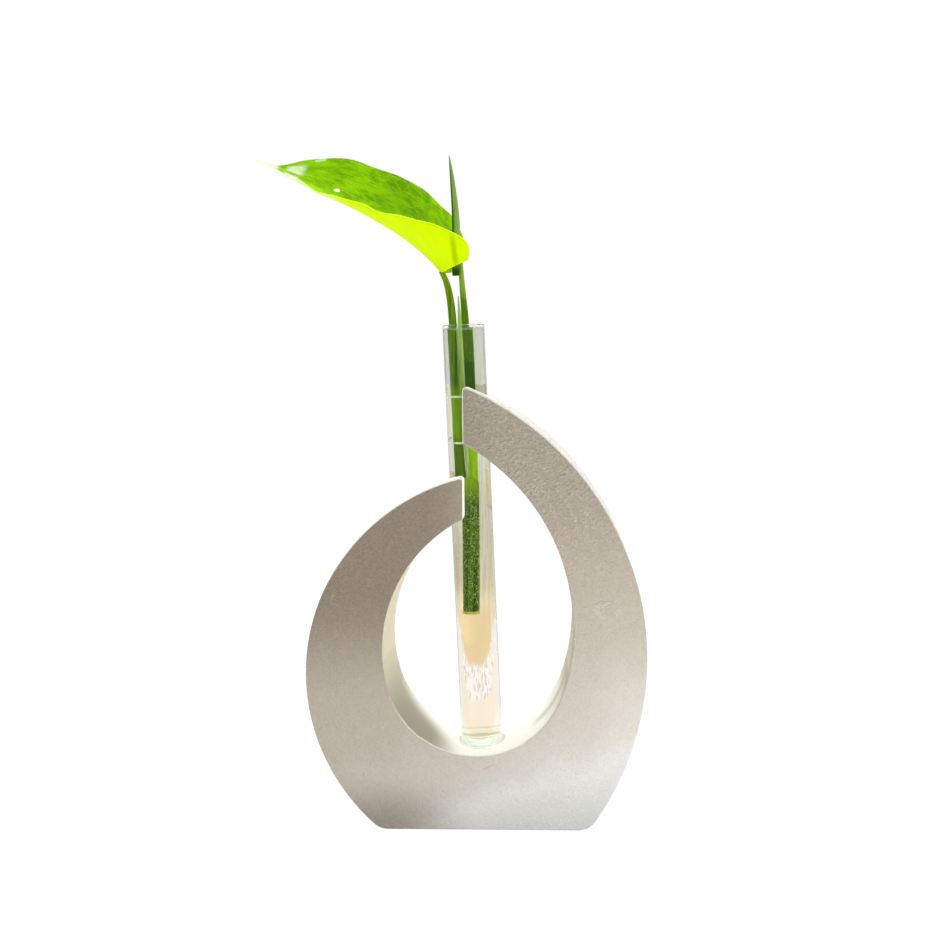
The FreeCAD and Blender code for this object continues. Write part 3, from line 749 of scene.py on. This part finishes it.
STEM_LENGTH = 48.0
STEM_START = NODE_UP - STEM_LENGTH
STEM = Stalk(right=0, behind=0, up=STEM_START, swing=-1.4, back=0.4, rise=STEM_LENGTH, radius=2.3, stations=[
    (0.0, 1.0, 0.0, 0.96), (0.20, 0.76, 0.0, 0.99), (0.40, 0.55, 0.0, 1.0), (0.60, 0.34, 0.02, 1.0),
    (0.75, 0.25, 0.10, 1.02), (0.88, 0.34, 0.40, 1.12), (0.985, 0.60, 0.95, 1.33), (1.01, 0.66, 1.0, 1.24),
    (1.03, 0.68, 1.0, 0.95), (1.045, 0.68, 1.0, 0.45), (1.05, 0.68, 1.0, 0.05)])
PETIOLE = Stalk(right=-2.6, behind=0, up=NODE_UP, swing=-3.9, back=-2.9, rise=75.2, radius=1.45, stations=[
    (0.0, 0.0, 0.0, 1.0), (0.12, 0.04, 0.21, 0.99), (0.24, 0.08, 0.41, 0.98), (0.36, 0.11, 0.59, 0.97),
    (0.48, 0.14, 0.76, 0.97), (0.60, 0.17, 0.90, 0.97), (0.71, 0.20, 0.97, 0.96), (0.80, 0.25, 0.99, 0.93),
    (0.88, 0.37, 0.97, 0.87), (0.95, 0.62, 0.90, 0.79), (1.0, 1.0, 0.80, 0.70)])
SHOOT = Stalk(right=0.3, behind=1.2, up=NODE_UP, swing=-0.65, back=2.8, rise=79.5, radius=1.6, stations=[
    (0.0, 0.0, 0.0, 1.0), (0.13, -0.18, 0.19, 0.97), (0.26, -0.31, 0.35, 0.94), (0.39, -0.40, 0.49, 0.92),
    (0.52, -0.46, 0.59, 0.89), (0.64, -0.45, 0.65, 0.86), (0.74, -0.28, 0.69, 0.80), (0.82, 0.12, 0.76, 0.71),
    (0.89, 0.55, 0.84, 0.63), (0.95, 0.83, 0.93, 0.56), (1.0, 1.0, 1.0, 0.50)])
FURL = Stalk(right=-2.5, behind=0, up=NODE_UP + 74.1, swing=1.4, back=1.8, rise=42.2, radius=1.45, stations=[
    (0.0, 0.30, 0.94, 0.84), (0.10, 0.42, 0.95, 0.93), (0.20, 0.58, 0.99, 0.96), (0.30, 0.76, 1.04, 0.98),
    (0.40, 0.90, 1.10, 0.97), (0.50, 0.91, 1.15, 0.90), (0.60, 0.82, 1.19, 0.80), (0.70, 0.67, 1.2, 0.68),
    (0.80, 0.50, 1.2, 0.53), (0.90, 0.28, 1.2, 0.34), (1.0, -0.02, 1.2, 0.06)])
SHEATH = Stalk(right=-0.4, behind=-1.0, up=NODE_UP, swing=-0.95, back=1.3, rise=66.8, radius=0.85, stations=[
    (0.0, 0.0, 0.0, 0.60), (0.20, 0.27, 0.36, 0.70), (0.40, 0.50, 0.64, 0.83), (0.60, 0.71, 0.84, 0.97),
    (0.75, 0.83, 0.94, 0.99), (0.88, 0.92, 0.99, 0.84), (1.0, 1.0, 1.0, 0.22)])


def stalk_at(stalk, share):
    """A stalk's middle and radius at a share of its rise."""
    swing, back, thick = smooth_at(stalk.stations, share)
    middle = Vector((stalk.right + stalk.swing * swing, stalk.behind + stalk.back * back,
                     stalk.up + stalk.rise * share))
    return middle, stalk.radius * thick


def ribbed(turn, share):
    """A stalk's outline: nearly round, with shallow ribs."""
    return 1 + 0.016 * math.cos(9 * turn) + 0.012 * math.cos(5 * turn + 3 * share)


def rolled(turn, share):
    """The furled leaf's outline: one turn of a roll, whose free edge makes a small step."""
    twist = (turn / math.tau + 0.82 + 0.10 * share) % 1.0
    return 0.93 + 0.13 * twist - 0.06 * max(0.0, 1 - twist / 0.06)


def strap(turn, share):
    """The sheath's outline, the same all the way up: a thin flat oval."""
    flatness = 0.30
    return 1.0 / math.sqrt(math.cos(turn) ** 2 + (math.sin(turn) / flatness) ** 2)


def grown_loops(bm, spokes, rings):
    """Grow a closed tube of flat rings from a circle, and give the loops of its corners from foot to tip."""
    loops = [list(bmesh.ops.create_circle(bm, cap_ends=True, segments=spokes, radius=1.0)["verts"])]
    edges = list({edge for vert in loops[0] for edge in vert.link_edges})
    for _ in range(rings):
        grown = bmesh.ops.extrude_edge_only(bm, edges=edges)["geom"]
        edges = [item for item in grown if isinstance(item, bmesh.types.BMEdge)
                 and all(vert not in loops[-1] for vert in item.verts)]
        above = []
        for vert in loops[-1]:
            others = [edge.other_vert(vert) for edge in vert.link_edges]
            above.append(next(other for other in others if other in grown))
        loops.append(above)
    bmesh.ops.contextual_create(bm, geom=edges)
    return loops


def wrap_map(bm, loops, name):
    """Give a swept piece a UV map: the share of a turn, and the share of its length."""
    layer = bm.loops.layers.uv.new(name)
    spokes, rings = len(loops[0]), len(loops) - 1
    order = {vert: (index, number) for number, loop in enumerate(loops) for index, vert in enumerate(loop)}
    for face in bm.faces:
        turns = [order[corner.vert][0] for corner in face.loops]
        over_seam = max(turns) - min(turns) > spokes / 2
        for corner in face.loops:
            index, number = order[corner.vert]
            if over_seam and index < spokes / 2:
                index += spokes
            corner[layer].uv = (index / spokes, number / rings)


def swept(bm, stalk, outline, spokes, rings, first=0.0, last=1.0, map_name=None):
    """A closed stalk between two shares of its rise. Its outline is outline(turn, share)."""
    loops = grown_loops(bm, spokes, rings)
    for number, loop in enumerate(loops):
        share = number / rings
        middle, radius = stalk_at(stalk, first + (last - first) * share)
        for index, vert in enumerate(loop):
            turn = math.tau * index / spokes
            reach = radius * outline(turn, share)
            vert.co = middle + Vector((math.cos(turn), math.sin(turn), 0)) * reach
    if map_name:
        wrap_map(bm, loops, map_name)
    bmesh.ops.recalc_face_normals(bm, faces=bm.faces[:])
    to_model(bm)


# The open blade, in millimetres: where its keel starts, how far the keel reaches to the left and rises, and
# the blade's half width. Four poles at shares of the reach and the rise steer the keel's curve.
KEEL_LEFT = 7.2
KEEL_FRONT = 2.32
KEEL_UP = 173.2
BLADE_REACH = 62.9
BLADE_RISE = 41.1
BLADE_HALF_WIDTH = 25.0
BLADE_CUP_SHARE = 0.28
KEEL_POLES = [(0.0, 0.0), (0.168, 0.345), (0.53, 0.74), (1.0, 1.0)]
# Its stations: share of the keel, share of the half width, turns of the near and far halves, and their sweep
BLADE = [
    (0.0, 0.54, 0.45, 0.76, 0.32), (0.05, 0.86, 0.55, 0.69, 0.20), (0.13, 1.0, 0.70, 0.60, 0.06),
    (0.27, 0.99, 0.85, 0.49, 0.0), (0.42, 0.90, 0.95, 0.41, 0.0), (0.56, 0.75, 1.02, 0.34, 0.0),
    (0.70, 0.57, 1.10, 0.265, 0.0), (0.82, 0.31, 1.15, 0.20, 0.0), (0.92, 0.05, 1.15, 0.20, 0.0),
    (1.0, 0.012, 1.15, 0.20, 0.0)]


def keel_at(share):
    """A point of the keel and its direction."""
    poles = [Vector((-KEEL_LEFT - BLADE_REACH * x, -KEEL_FRONT, KEEL_UP + BLADE_RISE * z))
             for x, z in KEEL_POLES]
    r = 1 - share
    point = (poles[0] * r ** 3 + poles[1] * 3 * r * r * share + poles[2] * 3 * r * share ** 2
             + poles[3] * share ** 3)
    along = ((poles[1] - poles[0]) * r * r + (poles[2] - poles[1]) * 2 * r * share
             + (poles[3] - poles[2]) * share ** 2)
    return point, along.normalized()


def blade_point(share, across):
    """A point of the blade: across runs from -1, the near edge, through the keel to 1, the far edge."""
    keel, along = keel_at(share)
    width, near, far, sweep = smooth_at(BLADE, share)
    width *= BLADE_HALF_WIDTH
    upright = Vector((along.z, 0, -along.x)) - along * sweep
    side = 1 if across > 0 else -1
    angle = math.pi / 2 * (far if across > 0 else near)
    out = upright * math.cos(angle) + Vector((0, side * math.sin(angle), 0))
    under = Vector((0, side * math.cos(angle), 0)) - upright * math.sin(angle)
    t = abs(across)
    # Each half is cupped, and waves a little towards its edge where it is wide
    wave = 0.35 * math.sin(share * 23 + side) * t ** 2 + 0.22 * math.sin(share * 41 + 2 * side) * t ** 3
    cup = width * BLADE_CUP_SHARE * t * (1 - t) + wave * min(1.0, width / 9)
    # The fold is rounded at the keel, inwards along the middle line between the halves
    half_fold = math.pi / 4 * (near + far)
    middle = math.pi / 4 * (far - near)
    inner = upright * math.cos(middle) + Vector((0, math.sin(middle), 0))
    fold = 0.45 * max(0.0, 1 - t * width / 1.6) ** 2
    return keel + out * (width * t) + under * cup + inner * (fold / math.sin(half_fold) + 0.2)


def blade_mesh(bm):
    """The folded blade, as a fine sheet with its own map."""
    bmesh.ops.create_grid(bm, x_segments=150, y_segments=64, size=0.5)
    layer = bm.loops.layers.uv.new("blade")
    for face in bm.faces:
        for corner in face.loops:
            corner[layer].uv = (corner.vert.co.x + 0.5, corner.vert.co.y + 0.5)
    for vert in bm.verts:
        vert.co = blade_point(min(1.0, max(0.0, vert.co.x + 0.5)), 2 * vert.co.y)
    bmesh.ops.recalc_face_normals(bm, faces=bm.faces[:])
    to_model(bm)


BUBBLE_GROUPS = 60
BUBBLES_IN_GROUP = 40
GROUPS_AT_FOOT = 2


def bubble_mesh(bm):
    """Small round bubbles: the first groups sit round the stem's cut foot, the rest all along it."""
    for group in range(BUBBLE_GROUPS):
        few = bmesh.new()
        for _ in range(BUBBLES_IN_GROUP):
            share = 0.0 if group < GROUPS_AT_FOOT else rng.random() ** 0.8 * 0.93
            middle, radius = stalk_at(STEM, share)
            turn = rng.uniform(0, math.tau)
            size = rng.uniform(0.06, 0.13) * (1.4 if rng.random() < 0.08 else 1)
            spot = middle + Vector((math.cos(turn), math.sin(turn), 0)) * (radius + size * 0.5)
            bmesh.ops.create_uvsphere(few, u_segments=6, v_segments=4, radius=size,
                                      matrix=Matrix.Translation(spot))
        mesh = mesh_from(few, "few_bubbles")
        bm.from_mesh(mesh)
        bpy.data.meshes.remove(mesh)
    to_model(bm)


# The pieces

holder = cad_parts["holder"]
holder.data.materials.clear()
holder.data.materials.append(cement_paint())

new_piece("glass_tube", glass_mesh, [tube_paint(), wet_paint(), foot_paint()],
          "tube", "tube_glass", "test_tube")
new_piece("water", water_mesh, [film_paint(), unseen_paint()], "tube", "tube_glass")

# Painted light: the stem is paler towards its top, where little light reaches it inside the glass. Its pale
# band is the cut foot.
stem_skin = stem_paint(
    "stem_skin", 0.03, srgb(30, 68, 0), srgb(110, 156, 2), srgb(188, 244, 20), (0.115, 0.130),
    (0.070, 0.0773, 0.0003, srgb(222, 238, 160)))
# Painted light and shade on the leaf stalk: a bright band high in the tube and a darker band below it
stalk_skin = stem_paint(
    "stalk_skin", 0.10, srgb(58, 92, 0), srgb(116, 154, 4), srgb(118, 156, 20), (0.186, 0.20),
    (0.1405, 0.158, 0.004, srgb(138, 186, 4)),
    (0.06, 0.1395, 0.001, srgb(86, 128, 4)))
# Painted light on the shoot's stalk: bright green low in the tube, where little light reaches it; darker
# bands above
shoot_skin = stem_paint(
    "shoot_skin", 0.10, srgb(58, 96, 0), srgb(112, 156, 4), srgb(158, 196, 60), (0.186, 0.198),
    (0.152, 0.1677, 0.0004, srgb(62, 104, 4)),
    (0.06, 0.146, 0.004, srgb(184, 240, 14)),
    (0.168, 0.190, 0.001, srgb(92, 128, 4)))

new_piece("stem", lambda bm: swept(bm, STEM, ribbed, 40, 105, last=1.05),
          [stem_skin], "cutting", "plant_stem", "cutting_stem")
new_piece("leaf_stalk", lambda bm: swept(bm, PETIOLE, ribbed, 32, 93, first=-0.03),
          [stalk_skin], "cutting", "plant_stem", "leaf_petiole")
new_piece("shoot_stalk", lambda bm: swept(bm, SHOOT, ribbed, 32, 93, first=-0.03),
          [shoot_skin], "cutting", "plant_stem", "shoot_petiole")
new_piece("rolled_leaf", lambda bm: swept(bm, FURL, rolled, 56, 90, map_name="roll"),
          [furled_paint()], "cutting", "plant_leaf", "furled_leaf")
new_piece("sheath", lambda bm: swept(bm, SHEATH, strap, 28, 70),
          [sheath_paint()], "cutting", "plant_leaf", "leaf_sheath")
leaf = new_piece("leaf", blade_mesh, [leaf_under_paint(), leaf_top_paint(), leaf_edge_paint()],
                 "cutting", "plant_leaf", "leaf_blade")
leaf_wall = leaf.modifiers.new("thickness", "SOLIDIFY")
leaf_wall.thickness = 0.00045
leaf_wall.offset = 0
leaf_wall.material_offset = 1
leaf_wall.material_offset_rim = 2
new_piece("bubbles", bubble_mesh, [bubble_paint()], "cutting", "plant_stem")


# Stage, light and camera


def stage_floor():
    """A pale floor that shows white and keeps a soft shadow."""
    bm = bmesh.new()
    bmesh.ops.create_grid(bm, x_segments=2, y_segments=2, size=6.0)
    floor = put_in_scene("floor", mesh_from(bm, "floor"))
    paint = Paint("pale_floor")
    lit = paint.make("BsdfDiffuse", None, {"Color": (0.86, 0.86, 0.85)})
    back = paint.axes(paint.place())[1]
    dim = paint.seen_ray("Glossy") * (1 - back.between(-0.30, 0.05))
    tone = paint.mix(dim, (1, 1, 1), (0.22, 0.22, 0.22))
    white = paint.make("Emission", None, {"Color": tone, "Strength": 1.08})
    seen = paint.seen_ray("Camera", "Glossy", "Transmission")
    floor.data.materials.append(paint.finish(paint.join(seen * 0.90, lit, white)))


def world_light():
    """Even light from all round, white where it is seen, with four grey strips that give glass its edges."""
    paint = Paint("studio", bpy.data.worlds)
    soft = paint.make("Background", None, {"Color": (1.0, 0.985, 0.96), "Strength": 0.68})
    side, back, _ = paint.axes(paint.make("TexCoord", output="Generated"))
    strips = (side * back).abs().between(0.40, 0.48) * (1 - paint.seen_ray("Camera"))
    dim = strips.top(paint.seen_ray("Glossy") * (1 - back.between(-0.5, 0.1)))
    tone = paint.mix(dim, (1, 1, 1), (0.24, 0.25, 0.24))
    white = paint.make("Background", None, {"Color": tone, "Strength": 1.0})
    seen = paint.seen_ray("Camera", "Glossy", "Transmission")
    bpy.context.scene.world = paint.finish(paint.join(seen, soft, white))


def lamp(name, place, aim, size, power, colour):
    """A soft square lamp that looks at aim."""
    data = bpy.data.lights.new(name, "AREA")
    data.size = size
    data.energy = power
    data.color = colour
    lamp_object = put_in_scene(name, data)
    lamp_object.location = place
    lamp_object.rotation_euler = (Vector(aim) - Vector(place)).to_track_quat("-Z", "Y").to_euler()
    lamp_object.visible_camera = False
    lamp_object.visible_glossy = False


def photo_camera():
    """The camera at the photograph's place."""
    data = bpy.data.cameras.new("camera")
    data.lens = 40.74
    data.sensor_width = 36.0
    data.shift_x = -0.0714
    data.clip_start = 0.01
    camera = put_in_scene("camera", data)
    camera.location = (0.024904, -0.380, 0.168443)
    camera.rotation_euler = (math.radians(90 - 5.78), 0, math.radians(1.1))
    bpy.context.scene.camera = camera


stage_floor()
world_light()
lamp("back_light", (-0.08, 0.45, 0.95), (0, 0, 0.09), 0.9, 10, (1.0, 0.985, 0.95))
lamp("low_right_light", (0.095, -0.155, 0.012), (0.02, 0, 0.04), 0.12, 0.14, (0.97, 0.99, 1.0))
photo_camera()
bpy.context.scene.view_settings.view_transform = "Standard"
